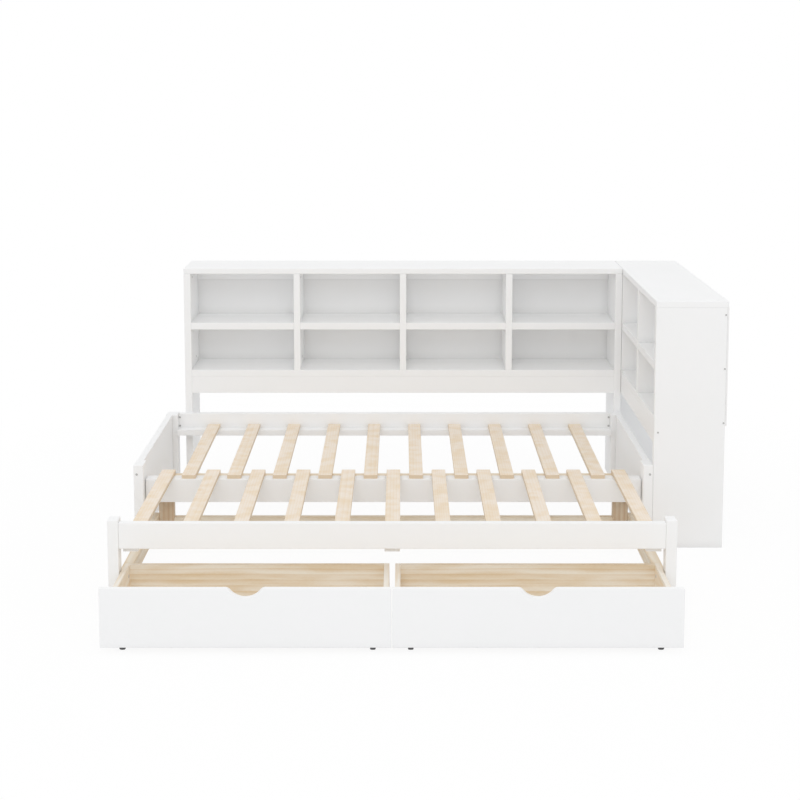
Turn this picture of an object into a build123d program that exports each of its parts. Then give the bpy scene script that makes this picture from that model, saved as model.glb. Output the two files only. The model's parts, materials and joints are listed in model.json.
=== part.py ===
from build123d import *
import os

os.makedirs("parts", exist_ok=True)

# Driving sizes in millimetres. X runs to the right, Y to the back and Z up.
# X = 0 is the middle of the bed, Y = 0 the front of the fixed arms, Z = 0 the floor.

# Fixed half of the bed
mattress_len = 1930.0
arm_post_w = 38.0
arm_post_d = 85.0
arm_h = 327.0
arm_panel_t = 26.0
arm_reveal = 2.0
arm_bottom = 20.0
tongue = 8.0
bed_depth = 957.0
rear_post_w = 50.0
rear_post_d = 70.0
rail_h = 90.0
rail_t = 26.0
mid_bracket_h = 66.0
mid_bracket_drop = 11.0
back_bolt_in = 5.0
back_bolt_l = 20.0
back_rail_top = 325.0
ledger_t = 25.0
ledger_d = 57.0
mid_front = 34.0
mid_rail_t = 28.0
mid_rail_h = 91.0
mid_ledger_t = 31.0
mid_ledger_h = 40.0
mid_gap = 3.0

# Slats
slat_w = 53.0
slat_t = 15.0
slat_pitch = 176.9
fixed_slat_count = 10
moving_slat_count = 11
slat_under = 263.0
slide_gap = 0.8
channel_extra = 6.0
channel_depth = 1.6
slat_setback = 9.0

# Pull-out half
frame_side_gap = 7.0
pull_out_travel = 741.0
frame_front = -826.0
post_w = 37.0
post_d = 53.0
post_h = 349.0
front_rail_t = 26.0
front_rail_top = 339.0
front_reveal = 2.0
bar_t = 37.0
bar_h = 45.0
rear_leg_w = 59.0
low_rail_h = 56.0
low_rail_bottom = 47.0
block_w = 52.0
block_d = 34.0
block_bottom = 232.0
strip_d = 28.0
strip_h = 20.0
glide_h = 4.0
glide_r = 13.0

# Drawers
drawer_gap = 4.0
front_h = 195.0
front_bottom = 21.0
front_t = 20.0
front_overlap = 11.5
drawer_open = 291.0
box_depth = 394.0
box_side_gap = 4.0
box_middle_gap = 20.0
box_top = 168.0
side_t = 18.0
bottom_t = 12.0
bottom_z = 38.0
notch_depth = 31.0
notch_bowl_r = 62.0
notch_lip_r = 24.0
wheel_r = 16.0
wheel_w = 18.0
axle_r = 3.0
bore_r = 3.2
fork_t = 2.0
plate_t = 2.0
wheel_in = 51.0
front_wheel_back = 21.0
rear_wheel_front = 35.0

# Bookcases
case_h = 967.0
case_d = 272.0
case_top_t = 24.0
panel_t = 30.0
divider_t = 28.0
shelf_t = 29.0
mid_shelf_t = 30.0
low_shelf_top = 515.0
mid_shelf_top = 726.0
apron_h = 74.0
apron_t = 30.0
top_rail_h = 58.0
top_rail_t = 12.0
back_t = 6.0
back_bottom = 482.0
rear_case_w = 1927.5
rear_divider_pitch = 466.7
arm_to_case = 0.5
case_joint = 1.0
side_divider_front = 467.0
edge = 1.5

# Fasteners
head_r = 4.5
case_head_r = 3.6
head_h = 1.6
socket_r = 2.2
shank_r = 3.0
hole_gap = 0.15
cam_r = 6.0
case_cam_r = 5.0
cam_h = 1.2
cam_peg = 8.0
cam_z = 135.0

# Small round parts have flats in place of a true circle, which keeps the mesh light
head_sides = 12
axle_sides = 12
shank_sides = 8


def block(x0, x1, y0, y1, z0, z1, c=0.0):
    """A board between two corners, with all edges eased by c."""
    middle = Pos((x0 + x1) / 2, (y0 + y1) / 2, (z0 + z1) / 2)
    b = middle * Box(abs(x1 - x0), abs(y1 - y0), abs(z1 - z0))
    return chamfer(b.edges(), c) if c else b


def rod(x, y, z, axis, r, length, sides=0):
    """A round bar that starts at a point and runs along axis, or one with a number of flat sides."""
    profile = RegularPolygon(r, sides) if sides else Circle(r)
    return Plane(origin=(x, y, z), z_dir=axis) * extrude(profile, length)


def bolt(x, y, z, axis, length, r=head_r, h=head_h):
    """A socket-head fastener: its head lies on the face at the point, and its shank runs along axis."""
    back = tuple(-a for a in axis)
    top = tuple(p + b * h for p, b in zip((x, y, z), back))
    head = rod(x, y, z, back, r, h, head_sides) - rod(*top, axis, socket_r, h / 2, 6)
    return head + rod(x, y, z, axis, shank_r, length, shank_sides)


def drill(board, holes):
    """Cut the fastener holes out of a board, each a little wider and deeper than its shank."""
    for x, y, z, axis, length in holes:
        start = tuple(p - a for p, a in zip((x, y, z), axis))
        board = board - rod(*start, axis, shank_r + hole_gap, length + 2.0, shank_sides)
    return board


def save(name, *solids):
    """Write one node: a single solid, or several separate ones, about the middle of the whole footprint."""
    flat = []
    for s in solids:
        flat += [Pos(-centre_x, -centre_y, 0) * part for part in s.solids()]
    export_step(flat[0] if len(flat) == 1 else Compound(children=flat), "parts/" + name + ".step")


half_in = mattress_len / 2
arm_out = half_in + arm_post_w
side_case_left = arm_out + arm_to_case
rear_case_right = side_case_left - case_joint
rear_case_left = rear_case_right - rear_case_w
front_back = frame_front - drawer_open - 2.0
front_face = front_back - front_t
inside_y = bed_depth + case_d
outside_y = inside_y + back_t
centre_x = (side_case_left + case_d + back_t - arm_out) / 2
centre_y = (front_face + outside_y + head_h) / 2
panel_out = arm_out - arm_reveal
panel_in = panel_out - arm_panel_t
sides = (("left", -1), ("right", 1))

# Arms: front posts, rear posts and the panels let into them
arm_bolt_x = panel_out - arm_panel_t / 2 + 3.0
arm_bolt_z = 291.0
rear_post_front = bed_depth - rear_post_d
rear_in = arm_out - rear_post_w
arm_holes = [(s * arm_bolt_x, 0.0, arm_bolt_z, (0, 1, 0), arm_post_d + 25.0) for _, s in sides]
rear_posts = []
for side, s in sides:
    panel_ends = (arm_post_d - tongue, rear_post_front + tongue)
    panel = block(s * panel_in, s * panel_out, *panel_ends, arm_bottom, arm_h, edge)
    post = block(s * half_in, s * arm_out, 0, arm_post_d, 0, arm_h, edge)
    groove = block(s * (panel_in - 0.2), s * (panel_out + 0.2), arm_post_d - tongue - 0.5, arm_post_d + 1,
                   arm_bottom - 0.5, arm_h + 1)
    save("arm_front_post_" + side, drill(post - groove, arm_holes))
    save("arm_panel_" + side, drill(panel, arm_holes))
    rear = block(s * rear_in, s * arm_out, rear_post_front, bed_depth, 0, arm_h, edge)
    rear_posts.append(rear - block(s * (panel_in - 0.2), s * (panel_out + 0.2), rear_post_front - 1,
                                   rear_post_front + tongue + 0.5, arm_bottom - 0.5, arm_h + 1))
save("arm_rear_posts", *rear_posts)

# Back rail with its ledger, between the rear posts
rail_front = bed_depth - rail_t
back_rail_in = rear_in
back_rail_low = back_rail_top - rail_h
back_rail = block(-back_rail_in, back_rail_in, rail_front, bed_depth, back_rail_low, back_rail_top, edge)
back_bolt_x = back_rail_in - back_bolt_in
back_bolt_zs = (307.5, 269.6)
rail_holes = [(s * back_bolt_x, rail_front, z, (0, 1, 0), back_bolt_l) for _, s in sides for z in back_bolt_zs]
save("back_rail", drill(back_rail, rail_holes))
ledger_front = rail_front - ledger_d
ledger_low = slat_under - ledger_t
save("back_ledger", block(-back_rail_in, back_rail_in, ledger_front, rail_front, ledger_low, slat_under, 1.0))

# Middle rail and ledger, with shallow channels that let the moving slats pass over
fixed_x = [(i - (fixed_slat_count - 1) / 2) * slat_pitch for i in range(fixed_slat_count)]
moving_x = [(i - (moving_slat_count - 1) / 2) * slat_pitch for i in range(moving_slat_count)]
mid_in = half_in - mid_gap
mid_back = mid_front + mid_rail_t + mid_ledger_t
mid_seam = mid_front + mid_rail_t
mid_rail = block(-mid_in, mid_in, mid_front, mid_seam, slat_under - mid_rail_h, slat_under, 1.0)
mid_ledger = block(-mid_in, mid_in, mid_seam, mid_back, slat_under - mid_ledger_h, slat_under, 1.0)
channel_low = slat_under - channel_depth
for x in moving_x:
    half = slat_w / 2 + channel_extra
    channel = block(x - half, x + half, mid_front - 1, mid_back + 1, channel_low, slat_under + 1)
    mid_rail = mid_rail - channel
    mid_ledger = mid_ledger - channel
save("middle_rail", mid_rail)
save("middle_ledger", mid_ledger)

# End brackets of the middle rail, and the bolts of arms and rails
brackets = []
mid_top = slat_under - mid_bracket_drop
mid_low = mid_top - mid_bracket_h
for _, s in sides:
    brackets.append(block(s * mid_in, s * half_in, mid_front + 12, mid_back - 10, mid_low, mid_top))
save("rail_brackets", *brackets)
save("bed_bolts", *[bolt(*h) for h in arm_holes + rail_holes])

fixed_ends = (mid_front + slat_setback, rail_front - 1)
save("fixed_slats", *[block(x - slat_w / 2, x + slat_w / 2, *fixed_ends, slat_under, slat_under + slat_t, 1.0)
                      for x in fixed_x])

# Pull-out half, shown drawn out to its stop behind the middle ledger
frame_out = half_in - frame_side_gap
post_in = frame_out - post_w
post_back = frame_front + post_d
bar_front = mid_back + 1.0
bar_back = bar_front + bar_t
bar_top = slat_under - slide_gap
rail_back = frame_front + front_reveal + front_rail_t
frame_bolt_y = frame_front + front_reveal + front_rail_t / 2
frame_bolt_zs = (322.0, 268.0)
low_top = low_rail_bottom + low_rail_h
frame_bolt_l = post_w + 30.0
frame_bolt_spots = [(frame_bolt_y, z) for z in frame_bolt_zs]
frame_bolt_spots.append(((bar_front + bar_back) / 2, low_rail_bottom + low_rail_h / 2))
frame_holes = [(s * frame_out, y, z, (-s, 0, 0), frame_bolt_l) for _, s in sides for y, z in frame_bolt_spots]
rail_face = frame_front + front_reveal
front_rail = block(-post_in, post_in, rail_face, rail_back, front_rail_top - rail_h, front_rail_top, edge)
save("front_rail", drill(front_rail, frame_holes))
legs, glides = [], []
for side, s in sides:
    post = block(s * post_in, s * frame_out, frame_front, post_back, glide_h, post_h)
    post = fillet(post.edges().group_by(Axis.Z)[-1], 4.0)
    post = fillet(post.edges().filter_by(Axis.Z), 2.0)
    save("front_post_" + side, drill(post, frame_holes))
    rail = block(s * post_in, s * frame_out, post_back, bar_back, low_rail_bottom, low_top, edge)
    save("side_rail_" + side, drill(rail, frame_holes))
    leg_in = post_in - rear_leg_w
    leg = block(s * leg_in, s * post_in, bar_front, bar_back, glide_h, bar_top - bar_h, edge)
    legs.append(drill(leg, frame_holes))
    for x, y in ((post_in + frame_out, frame_front + post_back), (leg_in + post_in, bar_front + bar_back)):
        glides.append(rod(s * x / 2, y / 2, 0, (0, 0, 1), glide_r, glide_h, head_sides))
save("rear_legs", *legs)
save("leg_glides", *glides)
save("upper_rear_bar", block(-post_in, post_in, bar_front, bar_back, bar_top - bar_h, bar_top, edge))
low_bar_top = low_rail_bottom + bar_h
save("lower_rear_bar", block(-leg_in, leg_in, bar_front, bar_back, low_rail_bottom, low_bar_top, edge))
block_xs = (moving_x[0], 0.0, moving_x[-1])
blocks = [block(x - block_w / 2, x + block_w / 2, rail_back, rail_back + block_d, block_bottom, bar_top, 1.0)
          for x in block_xs]
strip_back = rail_back + strip_d
strips = [block(a + block_w / 2, b - block_w / 2, rail_back, strip_back, bar_top - strip_h, bar_top)
          for a, b in zip(block_xs, block_xs[1:])]
save("front_ledger", *blocks, *strips)
moving_ends = (rail_back + 0.5, bar_back)
save("moving_slats", *[block(x - slat_w / 2, x + slat_w / 2, *moving_ends, bar_top, bar_top + slat_t, 1.0)
                       for x in moving_x])
save("frame_bolts", *[bolt(*h) for h in frame_holes])

# Drawers
front_top = front_bottom + front_h
front_outer = post_in + front_overlap
box_outer = post_in - box_side_gap
box_inner = box_middle_gap / 2
box_back = front_back + box_depth
wheel_ys = (("front", front_back + front_wheel_back), ("rear", box_back - rear_wheel_front))
lip = Pos(0, 5) * Rectangle(4 * notch_bowl_r, 10)
notch_face = lip + Pos(0, notch_bowl_r - notch_depth) * Circle(notch_bowl_r)
corners = [v for v in notch_face.vertices() if abs(v.Y) < 0.1 and abs(v.X) < notch_bowl_r]
notch_face = fillet(corners, notch_lip_r)
notch_face = Plane.XZ * notch_face
for side, s in sides:
    name = "drawer_" + side
    inner, outer = s * drawer_gap / 2, s * front_outer
    panel = block(inner, outer, front_face, front_back, front_bottom, front_top, 1.0)
    notch = Pos((inner + outer) / 2, 0, front_top) * extrude(notch_face, front_t, both=True)
    save(name + "_front", panel - Pos(0, front_face + front_t / 2, 0) * notch)
    box_z = bottom_z + bottom_t
    xs = (s * box_inner, s * (box_inner + side_t), s * (box_outer - side_t), s * box_outer)
    cam_ys = (front_back + 30.0, box_back - side_t - 22.0)
    cams = [(x, y, cam_z, (into, 0, 0), cam_peg) for x, into in ((xs[1], -s), (xs[2], s)) for y in cam_ys]
    boards = [block(a, b, front_back, box_back, box_z, box_top, 1.0) for a, b in (xs[:2], xs[2:])]
    save(name + "_sides", *[drill(board, cams) for board in boards])
    save(name + "_back", block(xs[1], xs[2], box_back - side_t, box_back, box_z, box_top, 1.0))
    save(name + "_bottom", block(xs[0], xs[3], front_back, box_back, bottom_z, box_z))
    save(name + "_cams", *[bolt(*c, cam_r, cam_h) for c in cams])
    forks = []
    for end, y in wheel_ys:
        wheels = []
        for x in (s * (box_inner + wheel_in), s * (box_outer - wheel_in)):
            cheek = wheel_w / 2 + 1.0
            plate_z = bottom_z - plate_t
            fork = block(x - cheek - 8, x + cheek + 8, y - 14, y + 14, plate_z, bottom_z)
            for x0, x1 in ((x - cheek - fork_t, x - cheek), (x + cheek, x + cheek + fork_t)):
                fork = fork + block(x0, x1, y - 8, y + 8, wheel_r - 6, plate_z)
            forks.append(fork + rod(x - cheek, y, wheel_r, (1, 0, 0), axle_r, 2 * cheek, axle_sides))
            tyre = chamfer(rod(x - wheel_w / 2, y, wheel_r, (1, 0, 0), wheel_r, wheel_w).edges(), 2.0)
            wheels.append(tyre - rod(x - wheel_w, y, wheel_r, (1, 0, 0), bore_r, 2 * wheel_w, axle_sides))
        save(name + "_" + end + "_wheels", *wheels)
    save(name + "_casters", *forks)

# Rear bookcase
case_side_top = case_h - case_top_t
rear_y = bed_depth
low_under = low_shelf_top - shelf_t
rx0, rx1 = rear_case_left + panel_t, rear_case_right - panel_t
rear_mid_x = (rx0 + rx1) / 2
divider_x = [rear_mid_x + k * rear_divider_pitch for k in (-1, 0, 1)]
screw_in = 6.0
case_z = (case_side_top - top_rail_h / 2, mid_shelf_top - 21.0, low_under + 7.0)
left_holes = [(rear_case_left, inside_y - screw_in, z, (1, 0, 0), 50.0) for z in case_z]
left_holes.append((rear_case_left, rear_y + apron_t / 2, low_under - 30.0, (1, 0, 0), 50.0))
cam_front = 60.0
cam_back = 160.0
cam_top_z = case_side_top - 21.0
cam_low_z = low_shelf_top + 32.0
cam_faces = [rx0] + [x + divider_t / 2 for x in divider_x]
case_cams = [(x, rear_y + y, z, (-1, 0, 0), cam_peg) for x in cam_faces
             for y, z in ((cam_front, cam_top_z), (cam_back, cam_low_z))]

save("rear_case_top", block(rear_case_left, rear_case_right, rear_y, outside_y, case_side_top, case_h, 2.0))
left_side = block(rear_case_left, rx0, rear_y, inside_y, 0, case_side_top, edge)
save("rear_case_side_left", drill(left_side, left_holes + case_cams))
save("rear_case_side_right", block(rx1, rear_case_right, rear_y, inside_y, 0, case_side_top, edge))
dividers = [block(x - divider_t / 2, x + divider_t / 2, rear_y, inside_y, low_shelf_top, case_side_top, 1.0)
            for x in divider_x]
save("rear_case_dividers", *[drill(d, case_cams) for d in dividers])
bays = list(zip(cam_faces, [x - divider_t / 2 for x in divider_x] + [rx1]))
top_rail_low = case_side_top - top_rail_h
rails = [block(a, b, inside_y - top_rail_t, inside_y, top_rail_low, case_side_top) for a, b in bays]
save("rear_case_top_rails", *[drill(r, left_holes) for r in rails])
mid_shelf_low = mid_shelf_top - mid_shelf_t
shelves = [block(a, b, rear_y + 1, inside_y, mid_shelf_low, mid_shelf_top, 1.0) for a, b in bays]
save("rear_case_mid_shelves", *[drill(r, left_holes) for r in shelves])
rear_shelf = block(rx0, rx1, rear_y, inside_y, low_under, low_shelf_top, 1.0)
save("rear_case_bottom_shelf", drill(rear_shelf, left_holes))
rear_apron = block(rx0, rx1, rear_y + 0.5, rear_y + apron_t, low_under - apron_h, low_under, 1.0)
save("rear_case_apron", drill(rear_apron, left_holes))
rear_panel = block(rear_case_left, rear_case_right, inside_y, outside_y, back_bottom, case_side_top)
save("rear_case_back_panel", rear_panel)

# Side bookcase, open towards the bed
sx0 = side_case_left
sx1 = sx0 + case_d
sx2 = sx1 + back_t
corner_front = rear_y
front_holes = [(sx1 - screw_in, 0.0, z, (0, 1, 0), 50.0) for z in case_z]
front_holes.append((sx0 + apron_t / 2, 0.0, low_under - 30.0, (0, 1, 0), 50.0))
rear_holes = [(x, outside_y, z, (0, -1, 0), length) for x, _, z, _, length in front_holes if z != case_z[1]]
side_holes = front_holes + rear_holes
side_top = block(sx0, sx2, 0, outside_y, case_side_top, case_h)
side_top = fillet(side_top.edges().filter_by(Axis.Z).sort_by(Axis.Y)[:2].sort_by(Axis.X)[-1], 8.0)
side_top = chamfer(side_top.edges().group_by(Axis.Z)[-1], 2.0)
save("side_case_top", side_top)
y_in, y_out = panel_t - 1, outside_y - panel_t + 1
save("side_case_front_end", drill(block(sx0, sx1, 0, y_in, 0, case_side_top, edge), front_holes))
save("side_case_rear_end", drill(block(sx0, sx1, y_out, outside_y, 0, case_side_top, edge), rear_holes))
for name, y in (("side_case_divider", side_divider_front), ("side_case_corner_panel", corner_front)):
    save(name, block(sx0, sx1, y, y + divider_t, low_shelf_top, case_side_top, 1.0))
side_bays = ((y_in, side_divider_front), (side_divider_front + divider_t, corner_front))
side_shelves = [block(sx0 + 1, sx1, a, b, mid_shelf_low, mid_shelf_top, 1.0) for a, b in side_bays]
save("side_case_mid_shelves", *[drill(r, side_holes) for r in side_shelves])
side_rails = [block(sx1 - top_rail_t, sx1, a, b, top_rail_low, case_side_top)
              for a, b in side_bays + ((corner_front + divider_t, y_out),)]
save("side_case_top_rails", *[drill(r, side_holes) for r in side_rails])
save("side_case_bottom_shelf", drill(block(sx0, sx1, y_in, y_out, low_under, low_shelf_top, 1.0), side_holes))
side_apron = block(sx0 + 0.5, sx0 + apron_t, y_in, y_out, low_under - apron_h, low_under, 1.0)
save("side_case_apron", drill(side_apron, side_holes))
save("side_case_back_panel", block(sx1, sx2, 0, outside_y, back_bottom, case_side_top))
case_bolts = [bolt(*h, case_head_r) for h in left_holes + side_holes]
save("case_fasteners", *case_bolts, *[bolt(*c, case_cam_r, cam_h) for c in case_cams])
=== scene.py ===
# %% [markdown]
# Storage daybed, dressed for a picture.
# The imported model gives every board, post and slat at its real size, in metres.
# This script adds what that model can't hold: paint, bare pine, zinc, rubber, light and a camera.
# It only adds. A board whose shape is right keeps its own mesh and gets a better material.
# The real bed comes flat in boxes: lacquered boards and posts, bare slats, and a bag of fasteners.
# So the work here goes in that order too: white coat, bare wood, small hardware, then the studio.

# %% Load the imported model
import json
import math

import bmesh
import bpy
from mathutils import Matrix, Vector


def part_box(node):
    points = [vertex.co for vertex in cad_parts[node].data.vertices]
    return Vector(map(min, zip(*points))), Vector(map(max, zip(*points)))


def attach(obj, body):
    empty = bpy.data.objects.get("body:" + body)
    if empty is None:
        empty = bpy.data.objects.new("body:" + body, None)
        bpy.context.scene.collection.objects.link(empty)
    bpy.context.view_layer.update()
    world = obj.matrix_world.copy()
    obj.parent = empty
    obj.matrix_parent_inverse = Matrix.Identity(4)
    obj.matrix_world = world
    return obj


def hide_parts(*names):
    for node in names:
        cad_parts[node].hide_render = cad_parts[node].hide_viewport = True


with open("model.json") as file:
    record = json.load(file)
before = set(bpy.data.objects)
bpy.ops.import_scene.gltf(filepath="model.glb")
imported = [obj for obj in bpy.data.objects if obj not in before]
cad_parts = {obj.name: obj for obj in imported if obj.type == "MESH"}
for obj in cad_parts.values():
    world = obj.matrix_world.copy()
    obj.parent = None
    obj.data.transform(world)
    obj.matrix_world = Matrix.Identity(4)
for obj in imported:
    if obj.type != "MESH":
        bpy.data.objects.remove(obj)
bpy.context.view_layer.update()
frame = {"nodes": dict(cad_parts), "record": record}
MM = 0.001

# %% [markdown]
# The photograph has upright lines that stay upright, so it was taken with a level camera and a frame
# slid downwards. A tall slide would push the object out of other views. Here the camera tips down a
# little and slides a little, and both together give the same picture to within a few pixels.
# The place, the lens, the tip and the slide were found together, by a fit on corners of the object.

# %% Camera
LENS_MM = 73.83
TIP_DEG = 7.31
SLIDE = -0.17
SIDE_SLIDE = -0.0008
CAMERA_AT = (-0.1109, -6.2274, 1.9028)
SENSOR_MM = 36
FAR = 60
camera = bpy.data.objects.new("camera", bpy.data.cameras.new("camera"))
camera.data.lens = LENS_MM
camera.data.sensor_width = SENSOR_MM
camera.data.shift_y = SLIDE
camera.data.shift_x = SIDE_SLIDE
camera.location = CAMERA_AT
camera.rotation_euler = (math.radians(90 - TIP_DEG), 0, 0)
camera.data.clip_end = FAR
bpy.context.scene.collection.objects.link(camera)
bpy.context.scene.camera = camera

# %% [markdown]
# A material is a small graph of nodes. Adding one node by hand takes several lines, so one helper
# does it: it makes the node, sets its own settings, and fills or links its inputs.
# Colours are written as the hex values that a paint card would give, and turned into the linear
# light that the renderer works in.

# %% Helpers for materials
def linear(hex_colour):
    """The linear colour of an sRGB hex value."""
    parts = [int(hex_colour[i:i + 2], 16) / 255 for i in (1, 3, 5)]
    return tuple(p / 12.92 if p <= 0.04045 else ((p + 0.055) / 1.055) ** 2.4 for p in parts) + (1.0,)


def add(tree, kind, inputs=None, **settings):
    """One node with its settings. An input is a plain value, or another node's socket to link."""
    node = tree.nodes.new("ShaderNode" + kind)
    for name, value in settings.items():
        setattr(node, name, value)
    for key, value in (inputs or {}).items():
        if isinstance(value, bpy.types.NodeSocket):
            tree.links.new(value, node.inputs[key])
        else:
            node.inputs[key].default_value = value
    return node


def blank(name):
    """An empty material and its node tree."""
    material = bpy.data.materials.new(name)
    material.use_nodes = True
    material.node_tree.nodes.clear()
    return material, material.node_tree


def finish_off(tree, **sockets):
    """The shader itself, with its sockets set, wired to the output."""
    shader = add(tree, "BsdfPrincipled", {key.replace("_", " "): value for key, value in sockets.items()})
    add(tree, "OutputMaterial", {"Surface": shader.outputs[0]})


def dress(node, material):
    """Give one CAD node its finish."""
    obj = frame["nodes"][node]
    obj.data.materials.clear()
    obj.data.materials.append(material)


# %% [markdown]
# The posts, rails and arms are painted pine, and the cases are painted board. Both are sprayed with
# satin white lacquer. Sprayed lacquer is never quite even: the sheen drifts over a hand's width, and
# close up it has a fine orange peel. On pine the grain also shows through as long shallow lines.
# The white has to be very light. Inside a shelf the light bounces from board to board many times,
# and each bounce loses a little, so a slightly greyer paint would turn the shelves dark.
# The back panels are another stock, a thin laminated sheet. Its white is set a shade greyer than the
# boards as painted shade, which is what makes the shelves look deep. Where two boards meet, a soft grey
# line of painted shade follows each inner corner, strongest where the corner sees the least sky.

# %% Satin white lacquer
PEEL_MM = 2.0
SHEEN_DRIFT_MM = 160.0
GRAIN_LINE_MM = 5.0
GRAIN_STRETCH = 28.0
CORNER_SHADE_MM = 40.0
CORNER_SHADE_GREY = "#D9D9D8"
CORNER_SHADE_SHARE = 0.30
CORNER_OPEN, CORNER_SHUT = 0.92, 0.5  # how much sky a flat board and an inner corner see
SATIN, DULLER_SATIN = 0.38, 0.50
LACQUER_IOR = 1.47
LACQUER_RELIEF_MM = 0.08
PEEL_SHARE = 0.35


def lacquer(name, white, shade, along=None):
    """Sprayed white lacquer, with painted shade in its inner corners. Over solid pine, along is the axis that
    the grain runs on.
    """
    material, tree = blank(name)
    place = add(tree, "TexCoord").outputs["Object"]
    drift = add(tree, "TexNoise", {"Vector": place, "Scale": 1 / (SHEEN_DRIFT_MM * MM), "Detail": 2.0})
    peel = add(tree, "TexNoise", {"Vector": place, "Scale": 1 / (PEEL_MM * MM), "Detail": 1.0})
    unshaded_white = add(tree, "Mix", {0: drift.outputs[0], 6: linear(white), 7: linear(shade)}, data_type="RGBA")
    # painted shade: the base colour turns grey where the board sees less sky, along every inner corner
    open_sky = add(tree, "AmbientOcclusion", {"Distance": CORNER_SHADE_MM * MM}, samples=6)
    corner_shade = add(tree, "MapRange", {0: open_sky.outputs["AO"], 1: CORNER_OPEN, 2: CORNER_SHUT,
                                    3: 0.0, 4: CORNER_SHADE_SHARE})
    colour = add(tree, "Mix", {0: corner_shade.outputs[0], 6: unshaded_white.outputs[2], 7: linear(CORNER_SHADE_GREY)},
                 data_type="RGBA")
    sheen = add(tree, "MapRange", {0: drift.outputs[0], 1: 0.3, 2: 0.7, 3: SATIN, 4: DULLER_SATIN})
    height = peel.outputs[0]
    if along is not None:
        squeeze = [1.0, 1.0, 1.0]
        squeeze[along] = 1 / GRAIN_STRETCH
        run = add(tree, "VectorMath", {0: place, 1: squeeze}, operation="MULTIPLY")
        grain = add(tree, "TexNoise", {"Vector": run.outputs[0], "Scale": 1 / (GRAIN_LINE_MM * MM),
                                       "Detail": 3.0})
        height = add(tree, "Mix", {0: PEEL_SHARE, 2: grain.outputs[0], 3: peel.outputs[0]}).outputs[0]
    bump = add(tree, "Bump", {"Strength": 0.25, "Distance": LACQUER_RELIEF_MM * MM, "Height": height})
    finish_off(tree, Base_Color=colour.outputs[2], Roughness=sheen.outputs[0], Normal=bump.outputs[0],
               IOR=LACQUER_IOR)
    return material


WHITE = "#FCFCFD"
WHITE_SHADE = "#FAFBFB"
# The laminate is a separate stock, and its greyer white is painted shade that makes the shelves look deep.
PANEL_WHITE_WITH_SHADE = "#F7F7F7"
PANEL_DRIFT_WITH_SHADE = "#F5F5F5"
X, Y, Z = 0, 1, 2
lacquered_pine = [lacquer("satin_lacquer_on_pine_" + axis, WHITE, WHITE_SHADE, along)
                  for along, axis in enumerate("xyz")]
lacquered_board = lacquer("satin_lacquer_on_board", WHITE, WHITE_SHADE)
laminate_with_painted_shade = lacquer("white_laminate_with_painted_shade", PANEL_WHITE_WITH_SHADE, PANEL_DRIFT_WITH_SHADE)

grain_runs = {
    X: ["back_rail", "back_ledger", "middle_rail", "middle_ledger", "front_rail", "front_ledger"],
    Z: ["arm_front_post_left", "arm_front_post_right", "arm_rear_posts", "front_post_left",
        "front_post_right"],
}
painted = [row["node"] for row in frame["record"]["subparts"] if row["material_slot"] == "white_paint"]
for name in painted:
    dress(name, lacquered_board)
for along, names in grain_runs.items():
    for name in names:
        dress(name, lacquered_pine[along])
for name in ("rear_case_back_panel", "side_case_back_panel"):
    dress(name, laminate_with_painted_shade)
print("painted nodes:", len(painted))

# %% [markdown]
# The slats, the hidden frame and the drawer boxes are bare pine. A pine board is a slice of a log, so
# its figure is the log's rings cut lengthwise: long soft flames on the face, and arcs on the ends.
# The rings are drawn round a pith line that lies beside the board, so all six faces agree with each
# other. The rings are a saw-tooth, because a ring starts pale and ends in a sharp amber line.
# Slats are narrow and sanded, so on them the figure is fine, with honey patches that differ from slat
# to slat. Their sawn edges and ends are tanner than the faces: partly rough wood, partly painted shade.
# The wide drawer and frame boards are planed. There the rings are cut flat and make broad streaks.

# %% Bare pine
RING_MM = 7.0
WIDE_RING_MM = 19.0
LOG_STRETCH = 26.0
WIDE_STRETCH = 9.0
FIBRE_MM = 1.4
PATCH_MM = 60.0
STREAK_MM = 24.0
SAWN_TAN_AND_SHADE = "#E0CCB0"
SAWN_TAN_AND_SHADE_SHARE = 0.85
ONE_BOARD = 10.0  # a pitch wider than the whole bed, so all of a node is one board
LOG_SPREAD = (0.10, 0.10, 0.10)
PITH_AWAY = (0.035, 0.035, 0.045)
RING_WANDER = 5.0
LATE_WOOD_POWER = 2.2
PATCH_SHARE = 0.5
FIBRE_SHARE = 0.18
PINE_RELIEF_MM = 0.12
PINE_IOR = 1.5
SANDED = 0.62
AMBER_GLOSS = 0.12


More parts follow.
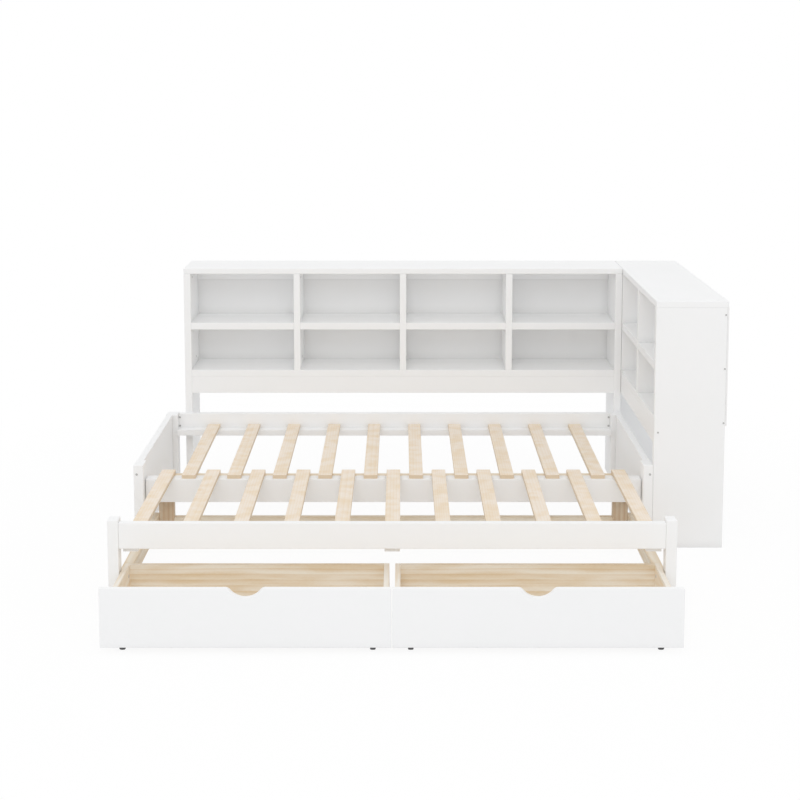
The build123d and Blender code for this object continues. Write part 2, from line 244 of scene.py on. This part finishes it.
def pine(name, node, along, pale, amber, contrast, ring_mm=WIDE_RING_MM, pitch=ONE_BOARD, first=None,
         sawn=False):
    """Bare pine for one node. Slats stand pitch apart in X, and each is cut from another log."""
    low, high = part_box(node)
    middle = [(a + b) / 2 for a, b in zip(low, high)]
    start = middle[0] if first is None else first
    material, tree = blank(name)
    place = add(tree, "TexCoord").outputs["Object"]
    centred = add(tree, "VectorMath", {0: place, 1: (start, middle[1], middle[2])}, operation="SUBTRACT")
    split = add(tree, "SeparateXYZ", {0: centred.outputs[0]})
    count = add(tree, "Math", {0: split.outputs[0], 1: pitch}, operation="DIVIDE")
    board = add(tree, "Math", {0: count.outputs[0]}, operation="ROUND")
    back = add(tree, "Math", {0: board.outputs[0], 1: -pitch, 2: split.outputs[0]}, operation="MULTIPLY_ADD")
    local = add(tree, "CombineXYZ", {0: back.outputs[0], 1: split.outputs[1], 2: split.outputs[2]})
    chance = add(tree, "TexWhiteNoise", {"W": board.outputs[0]}, noise_dimensions="1D")
    shift = add(tree, "VectorMath", {0: chance.outputs["Color"], 1: LOG_SPREAD}, operation="MULTIPLY")
    moved = add(tree, "VectorMath", {0: local.outputs[0], 1: shift.outputs[0]}, operation="ADD")
    pith = add(tree, "VectorMath", {0: moved.outputs[0], 1: PITH_AWAY}, operation="ADD")
    squeeze = [1.0, 1.0, 1.0]
    squeeze[along] = 1 / (LOG_STRETCH if sawn else WIDE_STRETCH)
    run = add(tree, "VectorMath", {0: pith.outputs[0], 1: squeeze}, operation="MULTIPLY")
    rings = add(tree, "TexWave", {
        "Vector": run.outputs[0], "Scale": math.pi / 10 / (ring_mm * MM), "Distortion": RING_WANDER,
        "Detail": 2.0, "Detail Scale": 0.35, "Detail Roughness": 0.5,
    }, wave_type="RINGS", rings_direction="XYZ"[along], wave_profile="SAW")
    late = add(tree, "Math", {0: rings.outputs["Fac"], 1: LATE_WOOD_POWER}, operation="POWER")
    fibre = add(tree, "TexNoise", {"Vector": run.outputs[0], "Scale": 1 / (FIBRE_MM * MM), "Detail": 2.0})
    spot, spot_mm = (moved, PATCH_MM) if sawn else (run, STREAK_MM)
    patch = add(tree, "TexNoise", {"Vector": spot.outputs[0], "Scale": 1 / (spot_mm * MM), "Detail": 1.5})
    ringed = add(tree, "Math", {0: late.outputs[0], 1: contrast}, operation="MULTIPLY")
    patched = add(tree, "MapRange", {0: patch.outputs[0], 1: 0.38, 2: 0.68, 3: 0.0, 4: PATCH_SHARE})
    fibred = add(tree, "MapRange", {0: fibre.outputs[0], 1: 0.35, 2: 0.75, 3: 0.0, 4: FIBRE_SHARE})
    figure = add(tree, "Math", {0: ringed.outputs[0], 1: patched.outputs[0]}, operation="ADD")
    amount = add(tree, "Math", {0: figure.outputs[0], 1: fibred.outputs[0]}, operation="ADD", use_clamp=True)
    colour = add(tree, "Mix", {0: amount.outputs[0], 6: linear(pale), 7: linear(amber)}, data_type="RGBA")
    # faces that turn sideways, the slats' edges and ends, go tan: partly rough sawn wood, partly painted
    # shade
    if sawn:
        facing = add(tree, "SeparateXYZ", {0: add(tree, "NewGeometry").outputs["True Normal"]})
        level = add(tree, "Math", {0: facing.outputs[2]}, operation="ABSOLUTE")
        cut = add(tree, "MapRange", {0: level.outputs[0], 1: 0.9, 2: 0.3, 3: 0.0, 4: SAWN_TAN_AND_SHADE_SHARE})
        colour = add(tree, "Mix", {0: cut.outputs[0], 6: colour.outputs[2], 7: linear(SAWN_TAN_AND_SHADE)},
                     data_type="RGBA")
    sheen = add(tree, "MapRange", {0: late.outputs[0], 3: SANDED, 4: SANDED - AMBER_GLOSS})
    height = add(tree, "Math", {0: fibre.outputs[0], 1: late.outputs[0]}, operation="ADD")
    bump = add(tree, "Bump", {"Strength": 0.35, "Distance": PINE_RELIEF_MM * MM, "Height": height.outputs[0]})
    finish_off(tree, Base_Color=colour.outputs[2], Roughness=sheen.outputs[0], Normal=bump.outputs[0],
               IOR=PINE_IOR)
    return material


SLAT_PALE, SLAT_AMBER = "#F8EDE0", "#EED7B4"
RAIL_PALE, RAIL_AMBER = "#F4EDDF", "#E0CAA8"
LEG_PALE, LEG_AMBER = "#E4D8C5", "#CAAC8A"
DRAWER_PALE, DRAWER_AMBER = "#F0EBE1", "#DAC29C"
SIDE_PALE, SIDE_AMBER = "#F7F3EB", "#EBD9BE"
SLAT_PITCH = 176.9 * MM
SLAT_CONTRAST = 0.35
BOARD_CONTRAST = 0.4
slat_count = {"fixed_slats": 10, "moving_slats": 11}
for name, slats in slat_count.items():
    low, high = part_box(name)
    slat_w = (high[0] - low[0]) - SLAT_PITCH * (slats - 1)
    dress(name, pine("sanded_pine_" + name, name, Y, SLAT_PALE, SLAT_AMBER, SLAT_CONTRAST, RING_MM,
                     pitch=SLAT_PITCH, first=low[0] + slat_w / 2, sawn=True))
    print(name, "are", round(slat_w / MM), "mm wide")

rail, leg = (RAIL_PALE, RAIL_AMBER), (LEG_PALE, LEG_AMBER)
box_side, box_back = (SIDE_PALE, SIDE_AMBER), (DRAWER_PALE, DRAWER_AMBER)
boards = {"side_rail_left": (Y, rail), "side_rail_right": (Y, rail), "rear_legs": (Z, leg),
          "upper_rear_bar": (X, rail), "lower_rear_bar": (X, rail)}
for side in ("left", "right"):
    boards["drawer_" + side + "_sides"] = (Y, box_side)
    boards["drawer_" + side + "_back"] = (X, box_back)
    boards["drawer_" + side + "_bottom"] = (X, box_side)
for name, (along, (pale, amber)) in boards.items():
    dress(name, pine("planed_pine_" + name, name, along, pale, amber, BOARD_CONTRAST))
print("bare pine boards:", ", ".join(boards))

# %% [markdown]
# The small hardware is bought in: zinc-plated bolts, black steel forks, rubber tyres, nylon glides.
# None of it is polished. Zinc plate has a fine dull grain that spreads the reflection of the tent,
# enamel is smoother and darker, rubber is matt and greyer than black because it takes up dust, and
# nylon is a soft milky white. One function makes them all, since each is a small drift between two
# near colours, with the same grain driving the sheen and the height.

# %% Metal, rubber and nylon
def plain_finish(name, light, dark, grain_mm, rough, metallic=0.0, spread=0.12, bump_mm=0.03):
    """A finish that drifts between two near colours over a grain of the given size."""
    material, tree = blank(name)
    place = add(tree, "TexCoord").outputs["Object"]
    grain = add(tree, "TexNoise", {"Vector": place, "Scale": 1 / (grain_mm * MM), "Detail": 3.0})
    colour = add(tree, "Mix", {0: grain.outputs[0], 6: linear(dark), 7: linear(light)}, data_type="RGBA")
    sheen = add(tree, "MapRange", {0: grain.outputs[0], 3: rough - spread / 2, 4: rough + spread / 2})
    bump = add(tree, "Bump", {"Strength": 0.3, "Distance": bump_mm * MM, "Height": grain.outputs[0]})
    finish_off(tree, Base_Color=colour.outputs[2], Roughness=sheen.outputs[0], Normal=bump.outputs[0],
               Metallic=metallic)
    return material


zinc = plain_finish("zinc_plated_steel", "#CFCFCD", "#B4B4B4", 1.5, 0.42, metallic=1.0)
fork_paint = plain_finish("black_enamelled_steel", "#303032", "#222224", 2.0, 0.45)
bracket_paint = plain_finish("grey_enamelled_steel", "#DCDCDA", "#D2D2D0", 2.0, 0.45)
tyre_rubber = plain_finish("black_rubber", "#6C6C6E", "#5E5E60", 1.0, 0.7)
cover_plastic = plain_finish("grey_cam_cover", "#D2D2D0", "#C6C6C4", 2.0, 0.45)
nylon = plain_finish("moulded_nylon", "#DEDEDA", "#D2D2CE", 3.0, 0.5)
hardware = {"zinc_fastener": zinc, "caster_steel": fork_paint, "bracket_steel": bracket_paint,
            "wheel_rubber": tyre_rubber, "glide_nylon": nylon}
for row in frame["record"]["subparts"]:
    if row["material_slot"] in hardware:
        dress(row["node"], hardware[row["material_slot"]])

# %% [markdown]
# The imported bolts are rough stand-ins with few sides. On the real bed they are small socket heads,
# turned from bar: a flat face, a rounded rim and a hexagon hole for the key. A turned part is one
# profile carried round an axis, so one helper makes the heads here and the wheels further on.
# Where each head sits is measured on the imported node, so nothing has to be typed twice: a node of
# fasteners is taken apart into its separate solids, and each solid tells its own place and radius.

# %% Turned parts
STEPS = 36
WELD_MM = 0.01
CREASE_DEG = 35


def solids(node):
    """The points of each separate solid of a node, in the order in which the node stores them."""
    bm = bmesh.new()
    bm.from_mesh(frame["nodes"][node].data)
    bmesh.ops.remove_doubles(bm, verts=bm.verts, dist=WELD_MM * MM)
    reached = set()
    found = []
    for start in bm.verts:
        if start in reached:
            continue
        reached.add(start)
        front = [start]
        group = []
        while front:
            vert = front.pop()
            group.append(vert.co.copy())
            for edge in vert.link_edges:
                other = edge.other_vert(vert)
                if other not in reached:
                    reached.add(other)
                    front.append(other)
        found.append(group)
    bm.free()
    return found


def turn(bm, profile, place, way, hexed=(), closed=False, slots=None):
    """Carry a profile of (radius, height) in mm round an axis. The rings listed in hexed are six-sided."""
    at = Matrix.Translation(place) @ Vector(way).to_track_quat("Z", "Y").to_matrix().to_4x4()
    rings = []
    for row, (radius, height) in enumerate(profile):
        ring = []
        for step in range(STEPS):
            angle = 2 * math.pi * step / STEPS
            flat = math.cos(angle % (math.pi / 3) - math.pi / 6)
            reach = radius / flat if row in hexed else radius
            point = Vector((reach * math.cos(angle), reach * math.sin(angle), height)) * MM
            ring.append(bm.verts.new(at @ point))
        rings.append(ring)
    pairs = list(zip(rings, rings[1:])) + ([(rings[-1], rings[0])] if closed else [])
    for row, (low, high) in enumerate(pairs):
        for step in range(STEPS):
            after = (step + 1) % STEPS
            face = bm.faces.new((low[step], low[after], high[after], high[step]))
            face.material_index = slots[row] if slots else 0
    if not closed:
        bm.faces.new(rings[0][::-1])
        bm.faces.new(rings[-1])


def piece(name, bm, body, materials, stands_for):
    """Turn a bmesh into an object that rides on a body and stands for a CAD node."""
    bmesh.ops.recalc_face_normals(bm, faces=bm.faces)
    for face in bm.faces:
        face.smooth = True
    for edge in bm.edges:
        edge.smooth = edge.calc_face_angle(0) < math.radians(CREASE_DEG)
    mesh = bpy.data.meshes.new(name)
    bm.to_mesh(mesh)
    bm.free()
    for material in materials:
        mesh.materials.append(material)
    obj = bpy.data.objects.new(name, mesh)
    bpy.context.scene.collection.objects.link(obj)
    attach(obj, body)
    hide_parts(stands_for)


# %% Socket heads and cam covers
KEY_MM = 2.0
KEY_LIP_MM = 0.5
KEY_BEVEL_MM = 0.15
KEY_TIP_MM = 0.3
WALL_FOOT, TIP_FOOT = 0.4, 0.25  # heights in the socket, as shares of the head's height
RIM_SHARE = 0.35
RIM_ROUND = 0.3
WIDEST = 0.97


def heads(node, body, finish):
    """Round heads for all fasteners of a node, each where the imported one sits."""
    bm = bmesh.new()
    for points in solids(node):
        low = [min(p[i] for p in points) for i in range(3)]
        high = [max(p[i] for p in points) for i in range(3)]
        sizes = [b - a for a, b in zip(low, high)]
        # a round thing is as wide as it is high across its axis, and only there
        uneven = [abs(sizes[i - 2] - sizes[i - 1]) for i in range(3)]
        axis = uneven.index(min(uneven))
        middle = Vector([(a + b) / 2 for a, b in zip(low, high)])
        across = [i for i in range(3) if i != axis]
        reach = [math.hypot(*(p[i] - middle[i] for i in across)) for p in points]
        radius = max(reach) / MM
        wide = [p[axis] for p, r in zip(points, reach) if r > WIDEST * max(reach)]
        sign = 1 if sum(wide) / len(wide) > middle[axis] else -1
        height = max(wide) / MM - min(wide) / MM
        face = middle.copy()
        face[axis] = min(wide) if sign > 0 else max(wide)
        way = [0, 0, 0]
        way[axis] = sign
        rim = RIM_SHARE * height
        shoulder = RIM_ROUND * rim
        outline = [(radius, 0), (radius, height - rim), (radius - shoulder, height - shoulder),
                   (radius - rim, height), (KEY_MM + KEY_LIP_MM, height), (KEY_MM, height - KEY_BEVEL_MM),
                   (KEY_MM, WALL_FOOT * height), (KEY_TIP_MM, TIP_FOOT * height)]
        turn(bm, outline, face, way, hexed=(4, 5, 6))
    count = len(bm.verts) // (STEPS * len(outline))
    piece(node + "_turned", bm, body, [finish], node)
    print(node, "has", count, "turned heads")


fasteners = (
    ("bed_bolts", "fixed_half", zinc),
    ("case_fasteners", "fixed_half", zinc),
    ("frame_bolts", "pull_out_half", zinc),
    ("drawer_left_cams", "drawer_left", cover_plastic),
    ("drawer_right_cams", "drawer_right", cover_plastic),
)
for node, body, finish in fasteners:
    heads(node, body, finish)

# %% [markdown]
# Each drawer rolls on four fixed casters. The wheel is a moulded grey hub with a dark rubber tyre
# round it. The tread is a little crowned and its shoulders are round, so only a narrow line of it
# touches the floor. The hub is sunk between its boss and the tyre, as a moulding is.

# %% Caster wheels
hub_plastic = plain_finish("grey_moulded_hub", "#6E6E70", "#5C5C5E", 2.0, 0.5)
HALF_W = 9.0
WHEEL_R = 16.0
BORE_R = 3.1
tyre_half = [(WHEEL_R, 3.0), (WHEEL_R - 0.3, 6.2), (WHEEL_R - 1.4, 8.3), (WHEEL_R - 2.8, HALF_W),
             (12.2, HALF_W), (11.4, HALF_W - 0.6)]
hub_half = [(10.8, 6.2), (7.2, 5.8), (6.4, 8.2), (BORE_R, 8.2)]
half_outline = tyre_half + hub_half
wheel_outline = [(r, -h) for r, h in reversed(half_outline)] + half_outline
hub_rows = len(hub_half)
wheel_slots = [1 if row < hub_rows or row >= len(wheel_outline) - 1 - hub_rows else 0
               for row in range(len(wheel_outline))]
for side in ("left", "right"):
    for end in ("front", "rear"):
        node = "drawer_" + side + "_" + end + "_wheels"
        bm = bmesh.new()
        for points in solids(node):
            middle = [(min(p[i] for p in points) + max(p[i] for p in points)) / 2 for i in range(3)]
            turn(bm, wheel_outline, middle, (1, 0, 0), closed=True, slots=wheel_slots)
        piece(node + "_turned", bm, node, [tyre_rubber, hub_plastic], node)
print("wheels are", 2 * WHEEL_R, "mm across")

# %% [markdown]
# The picture was lit like a light tent: soft white light from everywhere, so nearly no shadow.
# A plain white world does that. The floor is a matt white sheet. Where the camera or a shiny surface
# sees it, most of it is plain white, and a part of it stays lit so that the object's shadow shows.
# That part fades out a few metres away, so the sheet has no edge against the white behind it.

# %% Floor
def looked_at(tree):
    """1 where the eye sees a thing, directly, mirrored or through glass, and 0 where it only lights."""
    path = add(tree, "LightPath")
    direct = add(tree, "Math", {0: path.outputs["Is Camera Ray"], 1: path.outputs["Is Glossy Ray"]},
                 operation="ADD")
    return add(tree, "Math", {0: direct.outputs[0], 1: path.outputs["Is Transmission Ray"]}, operation="ADD",
               use_clamp=True)


FLOOR_HALF = 14.0
SHADOW_SHARE = 0.08
SHADOW_REACH = 3.0
FLOOR_BOUNCE = (0.80, 0.80, 0.80, 1)
PLAIN_WHITE = (1, 1, 1, 1)
mesh = bpy.data.meshes.new("studio_floor")
corners = [(-1, -1), (1, -1), (1, 1), (-1, 1)]
mesh.from_pydata([(x * FLOOR_HALF, y * FLOOR_HALF, 0.0) for x, y in corners], [], [(0, 1, 2, 3)])
floor = bpy.data.objects.new("studio_floor", mesh)
bpy.context.scene.collection.objects.link(floor)
sheet, tree = blank("matt_white_floor")
seen = looked_at(tree)
bounce = add(tree, "BsdfDiffuse", {"Color": FLOOR_BOUNCE})
shaded = add(tree, "BsdfDiffuse", {"Color": PLAIN_WHITE})
white = add(tree, "Emission", {"Color": PLAIN_WHITE, "Strength": 1.0})
ground = add(tree, "TexCoord").outputs["Object"]
away = add(tree, "VectorMath", {0: ground}, operation="LENGTH")
share = add(tree, "MapRange", {0: away.outputs["Value"], 1: SHADOW_REACH / 2, 2: SHADOW_REACH,
                               3: SHADOW_SHARE, 4: 0.0})
shown = add(tree, "MixShader", {0: share.outputs[0], 1: white.outputs[0], 2: shaded.outputs[0]})
both = add(tree, "MixShader", {0: seen.outputs[0], 1: bounce.outputs[0], 2: shown.outputs[0]})
add(tree, "OutputMaterial", {"Surface": both.outputs[0]})
mesh.materials.append(sheet)
print("the floor's shadow fades out", SHADOW_REACH, "m from the middle")

# %% [markdown]
# The tent alone would light every side the same. In the photograph the shelf tops are lighter than
# the panels behind them, so some of the light comes from above and in front. One large softbox there
# does it. It is wide and far away, so its shadows are too soft to see.
# White boards pass light on many times, and the usual few bounces would stop it inside the shelves.
# So the light is allowed more diffuse bounces than usual.

# %% Light
DIFFUSE_BOUNCES = 16
ALL_BOUNCES = 24
bpy.context.scene.cycles.diffuse_bounces = DIFFUSE_BOUNCES
bpy.context.scene.cycles.max_bounces = ALL_BOUNCES
TENT = 0.853
FRONT_W = 132
FRONT_AT = (-0.6, -7.8, 6.2)
FRONT_SIZE = (6.0, 4.0)
AIM = (0, 0, 0.5)
world = bpy.data.worlds.new("light_tent")
bpy.context.scene.world = world
world.use_nodes = True
world.node_tree.nodes.clear()
seen = looked_at(world.node_tree)
tent = add(world.node_tree, "Background", {"Color": PLAIN_WHITE, "Strength": TENT})
backdrop = add(world.node_tree, "Background", {"Color": PLAIN_WHITE, "Strength": 1.0})
sky = add(world.node_tree, "MixShader", {0: seen.outputs[0], 1: tent.outputs[0], 2: backdrop.outputs[0]})
add(world.node_tree, "OutputWorld", {"Surface": sky.outputs[0]})
light = bpy.data.lights.new("front_softbox", "AREA")
light.shape = "RECTANGLE"
light.size, light.size_y = FRONT_SIZE
light.energy = FRONT_W
lamp = bpy.data.objects.new("front_softbox", light)
lamp.location = FRONT_AT
lamp.rotation_euler = (Vector(AIM) - lamp.location).to_track_quat("-Z", "Y").to_euler()
bpy.context.scene.collection.objects.link(lamp)
bpy.context.scene.view_settings.view_transform = "Standard"
print("tent strength", TENT, "and a softbox of", FRONT_W, "W,", FRONT_SIZE[0], "m wide")
